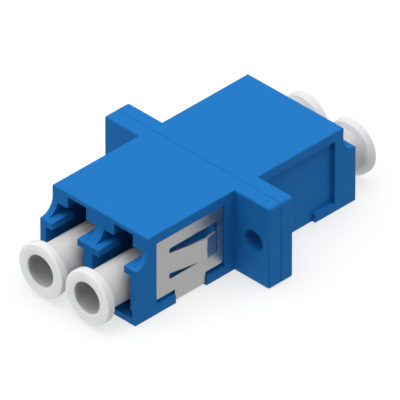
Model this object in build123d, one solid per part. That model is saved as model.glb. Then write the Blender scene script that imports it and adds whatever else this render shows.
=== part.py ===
"""Duplex fibre optic adapter of the small ferrule kind, for a panel cut-out or two screws.

Two moulded housing halves meet at the middle of a flange. Each half holds two ports side by
side, and a barrel stands at the end of each port. A slit ceramic sleeve floats in each pair
of barrels and lines up the two ferrules that meet in it. A folded steel clip wraps under the
front half and springs against the edge of the panel. Each port is closed by a push-in cap.

Units are millimetres. X runs across the flange, Y along the light path from the front ports
to the rear ones, and Z up. The origin is on the underside, at the middle of the flange.
"""

import os

from build123d import *

# Housing outline, measured outwards from the seam between the two halves
body_width = 12.85
body_height = 9.3
top_reach = 13.12
mouth_reach = 14.78
shelf_height = 6.27
body_edge_radius = 0.15

# Flange and its two screw holes
screw_pitch = 18.0
screw_edge_distance = 2.1
screw_hole_diameter = 2.4
flange_thickness = 3.22
flange_corner_radius = 0.32
flange_rim_radius = 0.24
seam_chamfer = 0.07

# Ports: their axes, the plug bore, and the wider mouth in front of it
port_pitch = 6.25
port_axis_height = 3.3
plug_bore_width = 4.7
plug_bore_height = 4.6
bulkhead = 1.2
mouth_width = 5.14
mouth_floor = 0.65
mouth_depth = 1.9
mouth_taper = 0.75
foot_groove_depth = 0.24
foot_groove_height = 0.95
foot_groove_length = 2.2

# Latch way above the plug bore: two ledges, the pocket behind them and the slot in the roof
ledge_underside = 5.54
ledge_thickness = 0.76
ledge_gap = 3.41
ledge_length = 2.9
latch_roof = 7.53
latch_pocket_length = 3.3
latch_way_length = 10.3
roof_slot_width = 2.5
roof_slot_top = 8.8
roof_slot_length = 4.1

# Barrels and the slit sleeves that float in them
barrel_diameter = 2.55
barrel_reach = 4.4
barrel_chamfer = 0.15
barrel_mouth_diameter = 1.4
sleeve_length = 6.8
sleeve_diameter = 1.62
sleeve_bore = 1.246
sleeve_slit = 0.3
sleeve_end_chamfer = 0.08
sleeve_side_clearance = 0.06
sleeve_end_clearance = 0.05

# Locating pin and socket on the seam face of each half
pin_diameter = 1.2
pin_length = 0.8
pin_offset = 2.6
pin_height = 7.4
pin_clearance = 0.03

# Recess for the clip, on both sides of each half, and the way for its strap
recess_depth = 0.5
recess_start = 2.89
recess_end = 12.0
recess_foot = 1.0
recess_top = 8.2
strap_way_start = 5.25
strap_way_end = 9.42
strap_way_height = 0.4

# Folded steel clip
sheet_thickness = 0.25
clip_side_clearance = 0.065
clip_end_clearance = 0.05
plate_foot = 1.55
plate_corner_radius = 0.3
strap_clearance = 0.05
strap_roof_clearance = 0.06
bend_radius = 0.1
window_start = 3.71
window_end = 10.13
window_foot = 3.09
window_top = 6.62
window_corner_radius = 0.2
tongue_foot = 3.76
tongue_top = 6.1
tongue_crest = 5.98
tongue_tip = 4.44
tongue_rise = 0.845
tongue_tip_rise = 0.57
tongue_bend_radius = 0.8

# Push-in dust cap
cap_face_reach = 18.03
cap_head_diameter = 5.8
cap_head_thickness = 0.88
cap_collar_diameter = 4.6
cap_collar_length = 0.8
cap_tube_diameter = 4.1
cap_tip_reach = 2.2
cap_tip_chamfer = 0.2
cap_bore_diameter = 3.36
cap_bore_depth = 9.5
cap_socket_clearance = 0.05
cap_socket_depth = 3.0

# Values worked out from the sizes above
half_width = body_width / 2
half_flange = flange_thickness / 2
flange_width = screw_pitch + 2 * screw_edge_distance
port_centres = (-port_pitch / 2, port_pitch / 2)

# How far a cut runs past a face, how far joined cuts overlap, and how near counts as equal
over = 1.0
bite = 0.01
near = 0.01


def block(x_low, x_high, y_low, y_high, z_low, z_high):
    """A box between the given limits."""
    middle = ((x_low + x_high) / 2, (y_low + y_high) / 2, (z_low + z_high) / 2)
    return Pos(*middle) * Box(x_high - x_low, y_high - y_low, z_high - z_low)


def rod(x, z, diameter, y_low, y_high):
    """A round bar along Y between two distances from the seam."""
    middle = (y_low + y_high) / 2
    return Pos(x, middle, z) * Rot(90, 0, 0) * Cylinder(diameter / 2, y_high - y_low)


def housing_shell():
    """Outline of one half: the body with its scooped end, and half of the rounded flange."""
    scoop = mouth_reach - top_reach
    scoop_centre = shelf_height + scoop
    low_side = Polyline((0, body_height), (0, 0), (mouth_reach, 0), (mouth_reach, shelf_height))
    end_arc = RadiusArc((mouth_reach, shelf_height), (top_reach, scoop_centre), scoop)
    high_side = Polyline((top_reach, scoop_centre), (top_reach, body_height), (0, body_height))
    profile = Plane.YZ * make_face(low_side + end_arc + high_side)
    body = extrude(profile, half_width, both=True)
    long_edges = body.edges().filter_by(Axis.Y)
    top_end_edge = body.faces().sort_by(Axis.Z)[-1].edges().sort_by(Axis.Y)[-1]
    body = fillet([*long_edges, top_end_edge], body_edge_radius)

    plate_plane = Plane((0, 0, body_height / 2), x_dir=(1, 0, 0), z_dir=(0, 1, 0))
    plate_outline = plate_plane * RectangleRounded(flange_width, body_height, flange_corner_radius)
    plate = extrude(plate_outline, half_flange)
    plate = fillet(plate.faces().sort_by(Axis.Y)[-1].edges(), flange_rim_radius)
    shell = body + plate
    return chamfer(shell.faces().sort_by(Axis.Y)[0].edges(), seam_chamfer)


def side_recess(side):
    """Room on one side for the clip's plate, and for its strap to come down from it."""
    low, high = sorted((side * (half_width - recess_depth), side * (half_width + over)))
    plate_room = block(low, high, recess_start, recess_end, recess_foot, recess_top)
    return plate_room + block(low, high, strap_way_start, strap_way_end, -over, recess_foot + bite)


def strap_channel():
    """Room for the clip's strap to pass under the body. Its corners follow the strap's bends."""
    half_core = half_width - recess_depth
    channel_top = strap_way_height + bend_radius
    around = Pos(0, (channel_top - over) / 2) * Rectangle(2 * (half_core + bite), channel_top + over)
    core = Pos(0, strap_way_height + body_height / 2) * Rectangle(2 * half_core, body_height)
    core = fillet(core.vertices().group_by(Axis.Y)[0], bend_radius)
    section = Plane((0, strap_way_end, 0), x_dir=(1, 0, 0), z_dir=(0, -1, 0)) * (around - core)
    return extrude(section, strap_way_end - strap_way_start)


def port_cut(x):
    """Everything taken out of one half for the port whose axis is at x."""
    half_bore = plug_bore_width / 2
    half_mouth = mouth_width / 2
    bore_floor = port_axis_height - plug_bore_height / 2
    ledge_top = ledge_underside + ledge_thickness
    outside = mouth_reach + over
    mouth_end = mouth_reach - mouth_depth
    taper_end = mouth_end - mouth_taper
    pocket_end = mouth_reach - ledge_length
    pocket_start = pocket_end - latch_pocket_length
    latch_start = mouth_reach - latch_way_length

    cut = block(x - half_bore, x + half_bore, bulkhead, outside, bore_floor, ledge_underside)
    cut += block(x - half_mouth, x + half_mouth, mouth_end, outside, mouth_floor, ledge_underside)
    wide = Plane((x, mouth_end, 0), x_dir=(1, 0, 0), z_dir=(0, -1, 0))
    narrow = Plane((x, taper_end, 0), x_dir=(1, 0, 0), z_dir=(0, -1, 0))
    wide_middle = (ledge_underside + mouth_floor) / 2
    narrow_middle = (ledge_underside + bore_floor) / 2
    wide_face = wide * Pos(0, wide_middle) * Rectangle(mouth_width, ledge_underside - mouth_floor)
    narrow_face = narrow * Pos(0, narrow_middle) * Rectangle(plug_bore_width, ledge_underside - bore_floor)
    cut += loft([wide_face, narrow_face])

    half_gap = ledge_gap / 2
    cut += block(x - half_gap, x + half_gap, latch_start, outside, ledge_underside - bite, latch_roof)
    cut += block(x - half_bore, x + half_bore, pocket_start, pocket_end, ledge_underside - bite, latch_roof)
    cut += block(x - half_mouth, x + half_mouth, pocket_end, outside, ledge_top, latch_roof)

    half_slot = roof_slot_width / 2
    slot_start = top_reach - roof_slot_length
    cut += block(x - half_slot, x + half_slot, slot_start, outside, latch_roof - bite, roof_slot_top)

    half_foot = half_mouth + foot_groove_depth
    foot_top = mouth_floor + foot_groove_height
    foot_start = mouth_reach - foot_groove_length
    cut += block(x - half_foot, x + half_foot, foot_start, outside, mouth_floor, foot_top)
    return cut


def barrel(x):
    """The tube at the end of a port that surrounds the sleeve."""
    post = rod(x, port_axis_height, barrel_diameter, 0, barrel_reach)
    return chamfer(post.faces().sort_by(Axis.Y)[-1].edges(), barrel_chamfer)


def barrel_bore(x):
    """The room for half a sleeve, and the narrower mouth that keeps it in."""
    seat = sleeve_length / 2 + sleeve_end_clearance
    room = rod(x, port_axis_height, sleeve_diameter + 2 * sleeve_side_clearance, -over, seat)
    mouth = rod(x, port_axis_height, barrel_mouth_diameter, seat - bite, barrel_reach + over)
    lead_length = barrel_chamfer + over
    lead_cone = Cone(barrel_mouth_diameter / 2, barrel_mouth_diameter / 2 + lead_length, lead_length)
    lead = Pos(x, barrel_reach + (over - barrel_chamfer) / 2, port_axis_height) * Rot(-90, 0, 0) * lead_cone
    return room + mouth + lead


def housing_half(carries_clip):
    """A moulded half that reaches towards +Y. Only the half that carries the clip has its channel."""
    half = housing_shell() - side_recess(-1) - side_recess(1)
    if carries_clip:
        half -= strap_channel()
    for x in port_centres:
        half -= port_cut(x)
    for x in port_centres:
        half += barrel(x)
    for x in port_centres:
        half -= barrel_bore(x)
    for x in (-screw_pitch / 2, screw_pitch / 2):
        half -= rod(x, body_height / 2, screw_hole_diameter, -over, half_flange + over)
    half += rod(pin_offset, pin_height, pin_diameter, -pin_length, over)
    socket_depth = pin_length + 2 * pin_clearance
    half -= rod(-pin_offset, pin_height, pin_diameter + 2 * pin_clearance, -over, socket_depth)
    return half


def split_sleeve(x):
    """A slit ceramic tube, centred on the seam, with its slit upwards."""
    section = Circle(sleeve_diameter / 2) - Circle(sleeve_bore / 2)
    slit = Pos(0, sleeve_diameter / 2) * Rectangle(sleeve_slit, sleeve_diameter)
    tube = extrude(section - slit, sleeve_length / 2, both=True)
    ends = tube.faces().filter_by(Axis.Z)
    rims = ends.edges().filter_by(GeomType.CIRCLE)
    tube = chamfer(rims.filter_by(lambda e: abs(e.radius - sleeve_diameter / 2) < near), sleeve_end_chamfer)
    return Pos(x, 0, port_axis_height) * Rot(90, 0, 0) * tube


def tongue(outer):
    """The spring tongue on the +X side, cut from the plate and bent outwards."""
    line = FilletPolyline(
        (outer, window_end + sheet_thickness),
        (outer, window_end),
        (outer + tongue_rise, tongue_crest),
        (outer + tongue_tip_rise, tongue_tip),
        radius=tongue_bend_radius,
    )
    section = make_face(offset(line, sheet_thickness, side=Side.RIGHT, closed=True))
    return Pos(0, 0, tongue_foot) * extrude(section, tongue_top - tongue_foot)


def panel_clip():
    """The clip on the front half: a folded U of sheet with a window and a tongue on each side."""
    inner = half_width - recess_depth + clip_side_clearance
    outer = inner + sheet_thickness
    plate_start = recess_start + clip_end_clearance
    plate_end = recess_end - clip_end_clearance
    plate_top = recess_top - clip_end_clearance
    strap_start = strap_way_start + strap_clearance
    strap_end = strap_way_end - strap_clearance
    strap_roof = strap_way_height - strap_roof_clearance
    strap_floor = strap_roof - sheet_thickness

    outside_u = Pos(0, (strap_floor + plate_top) / 2) * Rectangle(2 * outer, plate_top - strap_floor)
    outside_u = fillet(outside_u.vertices().group_by(Axis.Y)[0], bend_radius + sheet_thickness)
    inside_height = plate_top + over - strap_roof
    inside_u = Pos(0, strap_roof + inside_height / 2) * Rectangle(2 * inner, inside_height)
    inside_u = fillet(inside_u.vertices().group_by(Axis.Y)[0], bend_radius)
    fold_plane = Plane((0, plate_end, 0), x_dir=(1, 0, 0), z_dir=(0, -1, 0))
    folded = extrude(fold_plane * (outside_u - inside_u), plate_end - plate_start)

    plate = Pos((plate_start + plate_end) / 2, (plate_foot + plate_top) / 2) * Rectangle(
        plate_end - plate_start, plate_top - plate_foot
    )
    plate = fillet(plate.vertices(), plate_corner_radius)
    strap = Pos((strap_start + strap_end) / 2, (strap_floor - over + window_foot) / 2) * Rectangle(
        strap_end - strap_start, window_foot - strap_floor + over
    )
    window = Pos((window_start + window_end) / 2, (window_foot + window_top) / 2) * RectangleRounded(
        window_end - window_start, window_top - window_foot, window_corner_radius
    )
    blank = Plane.YZ * (plate + strap - window)
    clip = folded & extrude(blank, half_width, both=True)
    side_tongue = tongue(outer)
    clip += side_tongue
    clip += mirror(side_tongue, about=Plane.YZ)
    return Rot(0, 0, 180) * clip


def dust_cap(x):
    """A cap in the rear port at x: head, collar, tube, and a socket that slides over the barrel."""
    head_back = cap_face_reach - cap_head_thickness
    collar_back = head_back - cap_collar_length
    bore_floor = cap_face_reach - cap_bore_depth
    socket_floor = cap_tip_reach + cap_socket_depth
    tube = cap_tube_diameter / 2
    socket = barrel_diameter / 2 + cap_socket_clearance
    outline = Polyline(
        (socket, cap_tip_reach),
        (tube - cap_tip_chamfer, cap_tip_reach),
        (tube, cap_tip_reach + 2 * cap_tip_chamfer),
        (tube, collar_back),
        (cap_collar_diameter / 2, collar_back),
        (cap_collar_diameter / 2, head_back),
        (cap_head_diameter / 2, head_back),
        (cap_head_diameter / 2, cap_face_reach),
        (cap_bore_diameter / 2, cap_face_reach),
        (cap_bore_diameter / 2, bore_floor),
        (0, bore_floor),
        (0, socket_floor),
        (socket, socket_floor),
        close=True,
    )
    return Pos(x, 0, port_axis_height) * revolve(make_face(outline), Axis.Y)


def build_parts():
    """Every piece in its place, by node name."""
    parts = {
        "rear_housing": housing_half(carries_clip=False),
        "front_housing": Rot(0, 0, 180) * housing_half(carries_clip=True),
        "panel_clip": panel_clip(),
    }
    for side, x in zip(("left", "right"), port_centres):
        parts[f"split_sleeve_{side}"] = split_sleeve(x)
        cap = dust_cap(x)
        parts[f"rear_dust_cap_{side}"] = cap
        parts[f"front_dust_cap_{side}"] = mirror(cap, about=Plane.XZ)
    return parts


os.makedirs("parts", exist_ok=True)
for name, solid in build_parts().items():
    export_step(solid, f"parts/{name}.step")
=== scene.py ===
"""Looks of the duplex fibre adapter: materials, softened edges, turned caps, light, floor, camera.

Lengths are in metres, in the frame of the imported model: X across the flange, Y along the
light path, Z up from the underside. Colours are linear.
"""

import math

import bmesh
import bpy
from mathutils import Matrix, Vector


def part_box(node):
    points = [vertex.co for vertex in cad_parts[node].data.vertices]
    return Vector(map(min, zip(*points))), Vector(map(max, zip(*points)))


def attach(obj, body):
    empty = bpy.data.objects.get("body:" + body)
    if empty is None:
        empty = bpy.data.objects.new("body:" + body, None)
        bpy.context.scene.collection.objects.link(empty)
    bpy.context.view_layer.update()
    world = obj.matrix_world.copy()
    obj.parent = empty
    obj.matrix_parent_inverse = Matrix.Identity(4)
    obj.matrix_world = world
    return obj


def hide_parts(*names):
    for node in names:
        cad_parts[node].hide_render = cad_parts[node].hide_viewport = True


MM = 0.001
WHITE = (1.0, 1.0, 1.0, 1.0)

# Camera: a long lens stands in for the parallel view of the photograph
CAMERA_AZIMUTH = 45.0
CAMERA_ELEVATION = 34.87
CAMERA_TARGET = (0.123 * MM, 0.092 * MM, 4.188 * MM)
FRAME_WIDTH = 38.054 * MM
LENS = 1500.0
SENSOR = 36.0
NEAREST_SEEN = 0.1
FARTHEST_SEEN = 2.0

# Light: a dome that brightens towards its top, over an even glow from below. Both are a little
# stronger from the front and from the left, and stronger from the sides of the view than along it.
DOME_HORIZON = 0.02
DOME_ZENITH = 3.27
DOME_POWER = 3.0
DOME_FRONT_TILT = 0.15
DOME_LEFT_TILT = 0.08
DOME_SIDES = 0.7
GLOW_FROM_BELOW = 0.74

# What the camera and gloss see in place of the dome: white, and a duller floor in gloss
BACKDROP = 1.0
FLOOR_IN_GLOSS = 0.65

# Floor: seen by the camera alone, and part of its shadow is filled in
FLOOR_SIZE = 1.2
FLOOR_GREY = (0.825, 0.825, 0.825)
FLOOR_DROP = 0.01 * MM
FLOOR_ROUGHNESS = 0.9
FLOOR_MOTTLE_SCALE = 40.0
FLOOR_MOTTLE = 0.002
SHADOW_FILL = 0.65

# Softened edges: which creases are rounded, how near points are joined first, and how wide
CREASE_ANGLE = 35.0
CREASE_WELD = 0.0001 * MM
PLASTIC_EDGE = 0.08 * MM
SHEET_EDGE = 0.03 * MM
EDGE_STEPS = 2

# The stretch of a noise value that is spread over a whole range
NOISE_LOW = 0.3
NOISE_HIGH = 0.7

# Housing plastic. Here and below, scales are per metre, and mottle is a share of the colour.
PLASTIC_IOR = 1.5
HOUSING_BLUE = (0.0115, 0.155, 0.450)
HOUSING_GLOSS = 0.04
HOUSING_MOTTLE_SCALE = 260.0
HOUSING_MOTTLE = 0.02
HOUSING_SHEEN_SCALE = 900.0
HOUSING_ROUGHNESS = (0.50, 0.62)
HOUSING_GRAIN_SCALE = 9000.0
HOUSING_GRAIN_DEPTH = 0.004 * MM
HOUSING_GRAIN_STRENGTH = 0.25

# Cap plastic: the rim's white; the tube's darker white is painted shade, the flats' lighter white is
# painted light, and the hollow's darker white is painted shade
CAP_WHITE = (0.67, 0.67, 0.665)
CAP_TUBE_PAINTED_SHADE = (0.57, 0.56, 0.54)
CAP_FLAT_PAINTED_LIGHT = (0.88, 0.88, 0.88)
CAP_BORE_PAINTED_SHADE = (0.52, 0.52, 0.52)
CAP_GLOSS = 0.3
CAP_LIGHT_REACH = 0.8 * MM
CAP_MOTTLE_SCALE = 300.0
CAP_MOTTLE = 0.01
CAP_SHEEN_SCALE = 800.0
CAP_ROUGHNESS = (0.42, 0.55)
CAP_GRAIN_SCALE = 6000.0
CAP_GRAIN_DEPTH = 0.003 * MM
CAP_GRAIN_STRENGTH = 0.2

# How far from its axis the painted shade of a cap's hollow and of its tube reaches
CAP_BORE_SHADE_LIMIT = 1.72 * MM
CAP_TUBE_SHADE_LIMIT = 2.5 * MM

# Rolled steel: the rolling lines run along Y
STEEL_GREY = (0.55, 0.55, 0.55)
STEEL_MOTTLE_SCALE = 350.0
STEEL_MOTTLE = 0.025
STEEL_LINE_SCALES = (2500.0, 160.0, 12000.0)
STEEL_ROUGHNESS = (0.26, 0.33)
STEEL_LINE_DEPTH = 0.001 * MM
STEEL_LINE_STRENGTH = 0.08

# Ceramic
CERAMIC_IVORY = (0.82, 0.80, 0.74)
CERAMIC_IOR = 2.1
CERAMIC_MOTTLE_SCALE = 500.0
CERAMIC_MOTTLE = 0.01
CERAMIC_SHEEN_SCALE = 2000.0
CERAMIC_ROUGHNESS = (0.12, 0.2)

# Dust caps: as packed, with the stepped collar behind the head drawn out into a flare
CAP_HEAD_THICKNESS = 0.88 * MM
CAP_FLARE_RADIUS = 2.5 * MM
CAP_FLARE_LENGTH = 0.55 * MM
CAP_FLARE_STEPS = 12
CAP_TUBE_RADIUS = 2.05 * MM
CAP_TIP_CHAMFER = 0.2 * MM
CAP_BORE_RADIUS = 1.68 * MM
CAP_BORE_DEPTH = 9.5 * MM
CAP_SOCKET_RADIUS = 1.325 * MM
CAP_SOCKET_DEPTH = 3.0 * MM
CAP_TURN_STEPS = 128


def new_material(name):
    """A material with its main shader and the object coordinates in metres."""
    material = bpy.data.materials.new(name)
    material.use_nodes = True
    nodes = material.node_tree.nodes
    nodes.clear()
    output = nodes.new("ShaderNodeOutputMaterial")
    shader = nodes.new("ShaderNodeBsdfPrincipled")
    place = nodes.new("ShaderNodeTexCoord")
    material.node_tree.links.new(shader.outputs["BSDF"], output.inputs["Surface"])
    return material, shader, place.outputs["Object"]


def maths(tree, operation, *values):
    """A maths node over sockets and plain numbers. Returns its value."""
    node = tree.nodes.new("ShaderNodeMath")
    node.operation = operation
    for slot, value in zip(node.inputs, values):
        if isinstance(value, (int, float)):
            slot.default_value = value
        else:
            tree.links.new(value, slot)
    return node.outputs["Value"]


def parts_of(tree, vector):
    """The X, Y and Z values of a vector."""
    split = tree.nodes.new("ShaderNodeSeparateXYZ")
    tree.links.new(vector, split.inputs["Vector"])
    return split.outputs["X"], split.outputs["Y"], split.outputs["Z"]


def mix_shaders(tree, factor, first, second):
    """Shows the first shader where the factor is 0 and the second where it is 1."""
    node = tree.nodes.new("ShaderNodeMixShader")
    if isinstance(factor, (int, float)):
        node.inputs["Fac"].default_value = factor
    else:
        tree.links.new(factor, node.inputs["Fac"])
    tree.links.new(first, node.inputs[1])
    tree.links.new(second, node.inputs[2])
    return node.outputs["Shader"]


def noise(material, place, scale, detail, stretch=(1.0, 1.0, 1.0)):
    """A noise value over the object, with its own scale per metre along each axis."""
    tree = material.node_tree
    mapping = tree.nodes.new("ShaderNodeMapping")
    mapping.inputs["Scale"].default_value = stretch
    texture = tree.nodes.new("ShaderNodeTexNoise")
    texture.inputs["Scale"].default_value = scale
    texture.inputs["Detail"].default_value = detail
    tree.links.new(place, mapping.inputs["Vector"])
    tree.links.new(mapping.outputs["Vector"], texture.inputs["Vector"])
    return texture.outputs["Fac"]


def vary_roughness(material, shader, value, limits):
    """Lets a noise value carry the roughness from its lower limit to its upper one."""
    tree = material.node_tree
    spread = tree.nodes.new("ShaderNodeMapRange")
    spread.inputs["From Min"].default_value = NOISE_LOW
    spread.inputs["From Max"].default_value = NOISE_HIGH
    spread.inputs["To Min"].default_value, spread.inputs["To Max"].default_value = limits
    tree.links.new(value, spread.inputs["Value"])
    tree.links.new(spread.outputs["Result"], shader.inputs["Roughness"])


def blend(material, value, first, second):
    """A colour that goes from the first to the second as a value goes from 0 to 1."""
    tree = material.node_tree
    mix = tree.nodes.new("ShaderNodeMix")
    mix.data_type = "RGBA"
    for slot, colour in zip((s for s in mix.inputs if s.type == "RGBA"), (first, second)):
        if isinstance(colour, tuple):
            slot.default_value = (*colour, 1.0)
        else:
            tree.links.new(colour, slot)
    tree.links.new(value, mix.inputs["Factor"])
    return next(s for s in mix.outputs if s.type == "RGBA")


def mottled(material, value, colour, swing):
    """A colour that a noise value makes a little darker or lighter."""
    dark = tuple(channel * (1 - swing) for channel in colour)
    light = tuple(channel * (1 + swing) for channel in colour)
    return blend(material, value, dark, light)


def bump(material, shader, value, depth, strength):
    """Bump from a value, with its depth in metres."""
    tree = material.node_tree
    node = tree.nodes.new("ShaderNodeBump")
    node.inputs["Strength"].default_value = strength
    node.inputs["Distance"].default_value = depth
    tree.links.new(value, node.inputs["Height"])
    tree.links.new(node.outputs["Normal"], shader.inputs["Normal"])


def housing_plastic():
    """Satin blue moulding with a fine spark-eroded grain and faint flow mottling."""
    material, shader, place = new_material("housing_plastic")
    shader.inputs["IOR"].default_value = PLASTIC_IOR
    shader.inputs["Specular IOR Level"].default_value = HOUSING_GLOSS
    flow = noise(material, place, HOUSING_MOTTLE_SCALE, detail=3.0)
    colour = mottled(material, flow, HOUSING_BLUE, HOUSING_MOTTLE)
    material.node_tree.links.new(colour, shader.inputs["Base Color"])
    sheen = noise(material, place, HOUSING_SHEEN_SCALE, detail=4.0)
    vary_roughness(material, shader, sheen, HOUSING_ROUGHNESS)
    grain = noise(material, place, HOUSING_GRAIN_SCALE, detail=2.0)
    bump(material, shader, grain, HOUSING_GRAIN_DEPTH, HOUSING_GRAIN_STRENGTH)
    return material


def cap_painted_light_zones(material, place):
    """Three masks for painted light and shade: 1 near a cap's tube (painted shade), 1 where it faces
    along Y (painted light), and 1 inside its hollow (painted shade).
    """
    low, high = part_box("rear_dust_cap_right")
    port_offset = (low[0] + high[0]) / 2
    port_height = (low[2] + high[2]) / 2
    tree = material.node_tree
    x, _, z = parts_of(tree, place)
    across = maths(tree, "SUBTRACT", maths(tree, "ABSOLUTE", x), port_offset)
    above = maths(tree, "SUBTRACT", z, port_height)
    squares = maths(tree, "ADD", maths(tree, "POWER", across, 2.0), maths(tree, "POWER", above, 2.0))
    # Masks for the painted shade on the tube and in the hollow, by distance from the cap's axis
    tube_shade_mask = maths(tree, "LESS_THAN", squares, CAP_TUBE_SHADE_LIMIT ** 2)
    bore_shade_mask = maths(tree, "LESS_THAN", squares, CAP_BORE_SHADE_LIMIT ** 2)
    # Mask for the painted light on the flats that face along Y
    _, facing_y, _ = parts_of(tree, place.node.outputs["Normal"])
    flat_light_mask = maths(tree, "ABSOLUTE", facing_y)
    return tube_shade_mask, flat_light_mask, bore_shade_mask


def cap_plastic():
    """Soft white moulding that lets a little light through, with painted light on its flats and
    painted shade on its tube and in its hollow.
    """
    material, shader, place = new_material("cap_plastic")
    shader.inputs["IOR"].default_value = PLASTIC_IOR
    shader.inputs["Specular IOR Level"].default_value = CAP_GLOSS
    shader.inputs["Subsurface Weight"].default_value = 1.0
    shader.inputs["Subsurface Radius"].default_value = (1.0, 1.0, 1.0)
    shader.inputs["Subsurface Scale"].default_value = CAP_LIGHT_REACH
    flow = noise(material, place, CAP_MOTTLE_SCALE, detail=2.0)
    tube_shade_mask, flat_light_mask, bore_shade_mask = cap_painted_light_zones(material, place)
    rim = mottled(material, flow, CAP_WHITE, CAP_MOTTLE)
    tube = mottled(material, flow, CAP_TUBE_PAINTED_SHADE, CAP_MOTTLE)
    # Painted shade: the tube is coloured darker than the rim
    colour = blend(material, tube_shade_mask, rim, tube)
    # Painted light: the flats that face along Y are coloured lighter
    colour = blend(material, flat_light_mask, colour, CAP_FLAT_PAINTED_LIGHT)
    # Painted shade: the hollow is coloured darker
    colour = blend(material, bore_shade_mask, colour, CAP_BORE_PAINTED_SHADE)
    material.node_tree.links.new(colour, shader.inputs["Base Color"])
    sheen = noise(material, place, CAP_SHEEN_SCALE, detail=3.0)
    vary_roughness(material, shader, sheen, CAP_ROUGHNESS)
    grain = noise(material, place, CAP_GRAIN_SCALE, detail=2.0)
    bump(material, shader, grain, CAP_GRAIN_DEPTH, CAP_GRAIN_STRENGTH)
    return material


def rolled_steel():
    """Satin stainless sheet with fine rolling lines along the strip."""
    material, shader, place = new_material("rolled_steel")
    shader.inputs["Metallic"].default_value = 1.0
    lines = noise(material, place, scale=1.0, detail=3.0, stretch=STEEL_LINE_SCALES)
    patches = noise(material, place, STEEL_MOTTLE_SCALE, detail=2.0)
    colour = mottled(material, patches, STEEL_GREY, STEEL_MOTTLE)
    material.node_tree.links.new(colour, shader.inputs["Base Color"])
    vary_roughness(material, shader, lines, STEEL_ROUGHNESS)
    bump(material, shader, lines, STEEL_LINE_DEPTH, STEEL_LINE_STRENGTH)
    return material


def ceramic():
    """Polished ivory ceramic."""
    material, shader, place = new_material("ceramic")
    shader.inputs["IOR"].default_value = CERAMIC_IOR
    patches = noise(material, place, CERAMIC_MOTTLE_SCALE, detail=2.0)
    colour = mottled(material, patches, CERAMIC_IVORY, CERAMIC_MOTTLE)
    material.node_tree.links.new(colour, shader.inputs["Base Color"])
    sheen = noise(material, place, CERAMIC_SHEEN_SCALE, detail=2.0)
    vary_roughness(material, shader, sheen, CERAMIC_ROUGHNESS)
    return material


def soften(piece, width):
    """Joins the mesh at its creases and gives each crease a narrow rounded edge."""
    weld = piece.modifiers.new("join_creases", "WELD")
    weld.merge_threshold = CREASE_WELD
    edge = piece.modifiers.new("round_edges", "BEVEL")
    edge.limit_method = "ANGLE"
    edge.angle_limit = math.radians(CREASE_ANGLE)
    edge.width = width
    edge.segments = EDGE_STEPS
    edge.use_clamp_overlap = True
    edge.harden_normals = True


def dress(nodes, names, material, width=None):
    """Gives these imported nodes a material, and rounded edges of a given width."""
    for name in names:
        piece = nodes[name]
        piece.data.materials.clear()
        piece.data.materials.append(material)
        if width:
            soften(piece, width)


def flare_outline():
    """The hollow arc from a cap's tube out to its head, as pairs of radius and depth."""
    rise = CAP_FLARE_RADIUS - CAP_TUBE_RADIUS
    arc_radius = (rise ** 2 + CAP_FLARE_LENGTH ** 2) / (2 * rise)
    sweep = math.asin(CAP_FLARE_LENGTH / arc_radius)
    arc_start = CAP_HEAD_THICKNESS + CAP_FLARE_LENGTH
    points = []
    for step in range(CAP_FLARE_STEPS + 1):
        turn = sweep * step / CAP_FLARE_STEPS
        radius = CAP_TUBE_RADIUS + arc_radius * (1 - math.cos(turn))
        points.append((radius, arc_start - arc_radius * math.sin(turn)))
    return points


def cap_outline(length, head_radius):
    """Half a cap's section, from its socket's end round to its bore's, as radius and depth."""
    return [
        (0, length - CAP_SOCKET_DEPTH),
        (CAP_SOCKET_RADIUS, length - CAP_SOCKET_DEPTH),
        (CAP_SOCKET_RADIUS, length),
        (CAP_TUBE_RADIUS - CAP_TIP_CHAMFER, length),
        (CAP_TUBE_RADIUS, length - 2 * CAP_TIP_CHAMFER),
        *flare_outline(),
        (head_radius, CAP_HEAD_THICKNESS),
        (head_radius, 0),
        (CAP_BORE_RADIUS, 0),
        (CAP_BORE_RADIUS, CAP_BORE_DEPTH),
        (0, CAP_BORE_DEPTH),
    ]


def turned(name, outline, axis_x, axis_z, outer_face, inwards):
    """A smooth mesh turned about an axis along Y. Depths run inwards from the outer face."""
    shape = bmesh.new()
    turns = [2 * math.pi * step / CAP_TURN_STEPS for step in range(CAP_TURN_STEPS)]
    rings = []
    for radius, depth in outline:
        y = outer_face + inwards * depth
        if radius == 0:
            rings.append([shape.verts.new((axis_x, y, axis_z))] * CAP_TURN_STEPS)
            continue
        places = [(axis_x + radius * math.cos(a), y, axis_z + radius * math.sin(a)) for a in turns]
        rings.append([shape.verts.new(place) for place in places])
    for ring, following in zip(rings, rings[1:]):
        for step in range(CAP_TURN_STEPS):
            beside = (step + 1) % CAP_TURN_STEPS
            corners = [ring[step], ring[beside], following[beside], following[step]]
            shape.faces.new(list(dict.fromkeys(corners)))
    bmesh.ops.recalc_face_normals(shape, faces=shape.faces)
    mesh = bpy.data.meshes.new(name)
    shape.to_mesh(mesh)
    shape.free()
    mesh.shade_smooth()
    return mesh


def flared_cap(end, side, material):
    """A dust cap turned from its outline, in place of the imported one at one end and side."""
    node = f"{end}_dust_cap_{side}"
    low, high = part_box(node)
    outline = cap_outline(high[1] - low[1], (high[0] - low[0]) / 2)
    axis_x = (low[0] + high[0]) / 2
    axis_z = (low[2] + high[2]) / 2
    outer_face, inwards = (low[1], 1) if end == "front" else (high[1], -1)
    mesh = turned(f"{node}_flared", outline, axis_x, axis_z, outer_face, inwards)
    mesh.materials.append(material)

    cap = bpy.data.objects.new(f"{node}_flared", mesh)
    bpy.context.scene.collection.objects.link(cap)
    soften(cap, PLASTIC_EDGE)
    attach(cap, f"{end}_cap_{side}")
    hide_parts(node)


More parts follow.
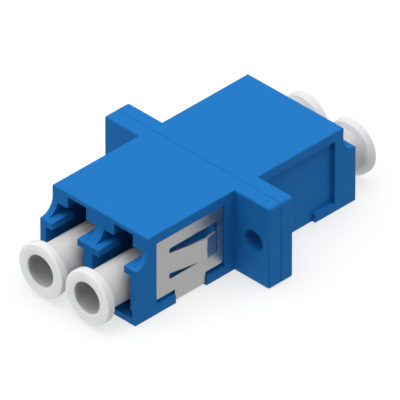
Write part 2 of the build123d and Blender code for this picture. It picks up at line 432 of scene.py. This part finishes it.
def floor():
    """The pale floor that the adapter lies on. Light from below passes it to reach the adapter."""
    half = FLOOR_SIZE / 2
    mesh = bpy.data.meshes.new("floor")
    corners = [(-half, -half), (half, -half), (half, half), (-half, half)]
    mesh.from_pydata([(x, y, -FLOOR_DROP) for x, y in corners], [], [(0, 1, 2, 3)])
    plane = bpy.data.objects.new("floor", mesh)
    bpy.context.scene.collection.objects.link(plane)
    material, shader, place = new_material("floor_paper")
    shader.inputs["Roughness"].default_value = FLOOR_ROUGHNESS
    shader.inputs["Specular IOR Level"].default_value = 0.0
    tree = material.node_tree
    patches = noise(material, place, FLOOR_MOTTLE_SCALE, detail=1.0)
    colour = mottled(material, patches, FLOOR_GREY, FLOOR_MOTTLE)
    tree.links.new(colour, shader.inputs["Base Color"])
    fill = tree.nodes.new("ShaderNodeEmission")
    fill.inputs["Strength"].default_value = BACKDROP
    surface = mix_shaders(tree, SHADOW_FILL, shader.outputs["BSDF"], fill.outputs["Emission"])
    tree.links.new(surface, tree.nodes["Material Output"].inputs["Surface"])
    mesh.materials.append(material)
    for ray in ("diffuse", "glossy", "transmission", "volume_scatter", "shadow"):
        setattr(plane, f"visible_{ray}", False)


def dome():
    """Soft light from all round, brightest overhead. The camera and gloss see plain white."""
    world = bpy.data.worlds.new("dome")
    bpy.context.scene.world = world
    world.use_nodes = True
    tree = world.node_tree
    tree.nodes.clear()
    output = tree.nodes.new("ShaderNodeOutputWorld")
    place = tree.nodes.new("ShaderNodeTexCoord")
    x, y, z = parts_of(tree, place.outputs["Generated"])
    height = maths(tree, "MAXIMUM", z, 0.0)
    rise = maths(tree, "POWER", height, DOME_POWER)
    above = maths(tree, "MULTIPLY_ADD", rise, DOME_ZENITH - DOME_HORIZON, DOME_HORIZON)
    below = maths(tree, "LESS_THAN", z, 0.0)
    even = maths(tree, "MULTIPLY_ADD", below, GLOW_FROM_BELOW - DOME_HORIZON, above)
    leftwards = maths(tree, "MULTIPLY_ADD", x, -DOME_LEFT_TILT, 1.0)
    tilted = maths(tree, "MULTIPLY_ADD", y, -DOME_FRONT_TILT, leftwards)
    diagonal = maths(tree, "MULTIPLY", x, y)
    sided = maths(tree, "MULTIPLY_ADD", diagonal, 2 * DOME_SIDES, tilted)
    light = tree.nodes.new("ShaderNodeBackground")
    light.inputs["Color"].default_value = WHITE
    tree.links.new(maths(tree, "MULTIPLY", even, sided), light.inputs["Strength"])

    path = tree.nodes.new("ShaderNodeLightPath")
    gloss = maths(tree, "MAXIMUM", path.outputs["Is Glossy Ray"], path.outputs["Is Transmission Ray"])
    mirrored_floor = maths(tree, "MULTIPLY", gloss, below)
    white = maths(tree, "MULTIPLY_ADD", mirrored_floor, FLOOR_IN_GLOSS - BACKDROP, BACKDROP)
    backdrop = tree.nodes.new("ShaderNodeBackground")
    backdrop.inputs["Color"].default_value = WHITE
    tree.links.new(white, backdrop.inputs["Strength"])
    seen = maths(tree, "MAXIMUM", gloss, path.outputs["Is Camera Ray"])
    surface = mix_shaders(tree, seen, light.outputs["Background"], backdrop.outputs["Background"])
    tree.links.new(surface, output.inputs["Surface"])


def camera():
    """The photograph's view: from the front right, a little above."""
    data = bpy.data.cameras.new("camera")
    data.type = "PERSP"
    data.sensor_width = SENSOR
    data.lens = LENS
    distance = FRAME_WIDTH * LENS / SENSOR
    data.clip_start = distance * NEAREST_SEEN
    data.clip_end = distance * FARTHEST_SEEN
    azimuth = math.radians(CAMERA_AZIMUTH)
    elevation = math.radians(CAMERA_ELEVATION)
    back = Vector((
        math.sin(azimuth) * math.cos(elevation),
        -math.cos(azimuth) * math.cos(elevation),
        math.sin(elevation),
    ))
    holder = bpy.data.objects.new("camera", data)
    holder.location = Vector(CAMERA_TARGET) + back * distance
    holder.rotation_mode = "QUATERNION"
    holder.rotation_quaternion = (-back).to_track_quat("-Z", "Y")
    bpy.context.scene.collection.objects.link(holder)
    bpy.context.scene.camera = holder


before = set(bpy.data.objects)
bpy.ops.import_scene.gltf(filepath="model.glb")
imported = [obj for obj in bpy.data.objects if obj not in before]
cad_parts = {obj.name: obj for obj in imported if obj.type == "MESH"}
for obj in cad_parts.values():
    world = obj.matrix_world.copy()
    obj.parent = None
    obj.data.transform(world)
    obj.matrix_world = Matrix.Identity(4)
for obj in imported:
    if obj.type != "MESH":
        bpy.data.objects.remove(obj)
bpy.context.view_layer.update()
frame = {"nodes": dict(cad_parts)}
cad = frame["nodes"]

dress(cad, ["front_housing", "rear_housing"], housing_plastic(), PLASTIC_EDGE)
dress(cad, ["panel_clip"], rolled_steel(), SHEET_EDGE)
dress(cad, ["split_sleeve_left", "split_sleeve_right"], ceramic())
cap_white = cap_plastic()
for end in ("front", "rear"):
    for side in ("left", "right"):
        flared_cap(end, side, cap_white)

floor()
dome()
camera()
bpy.context.scene.view_settings.view_transform = "Standard"
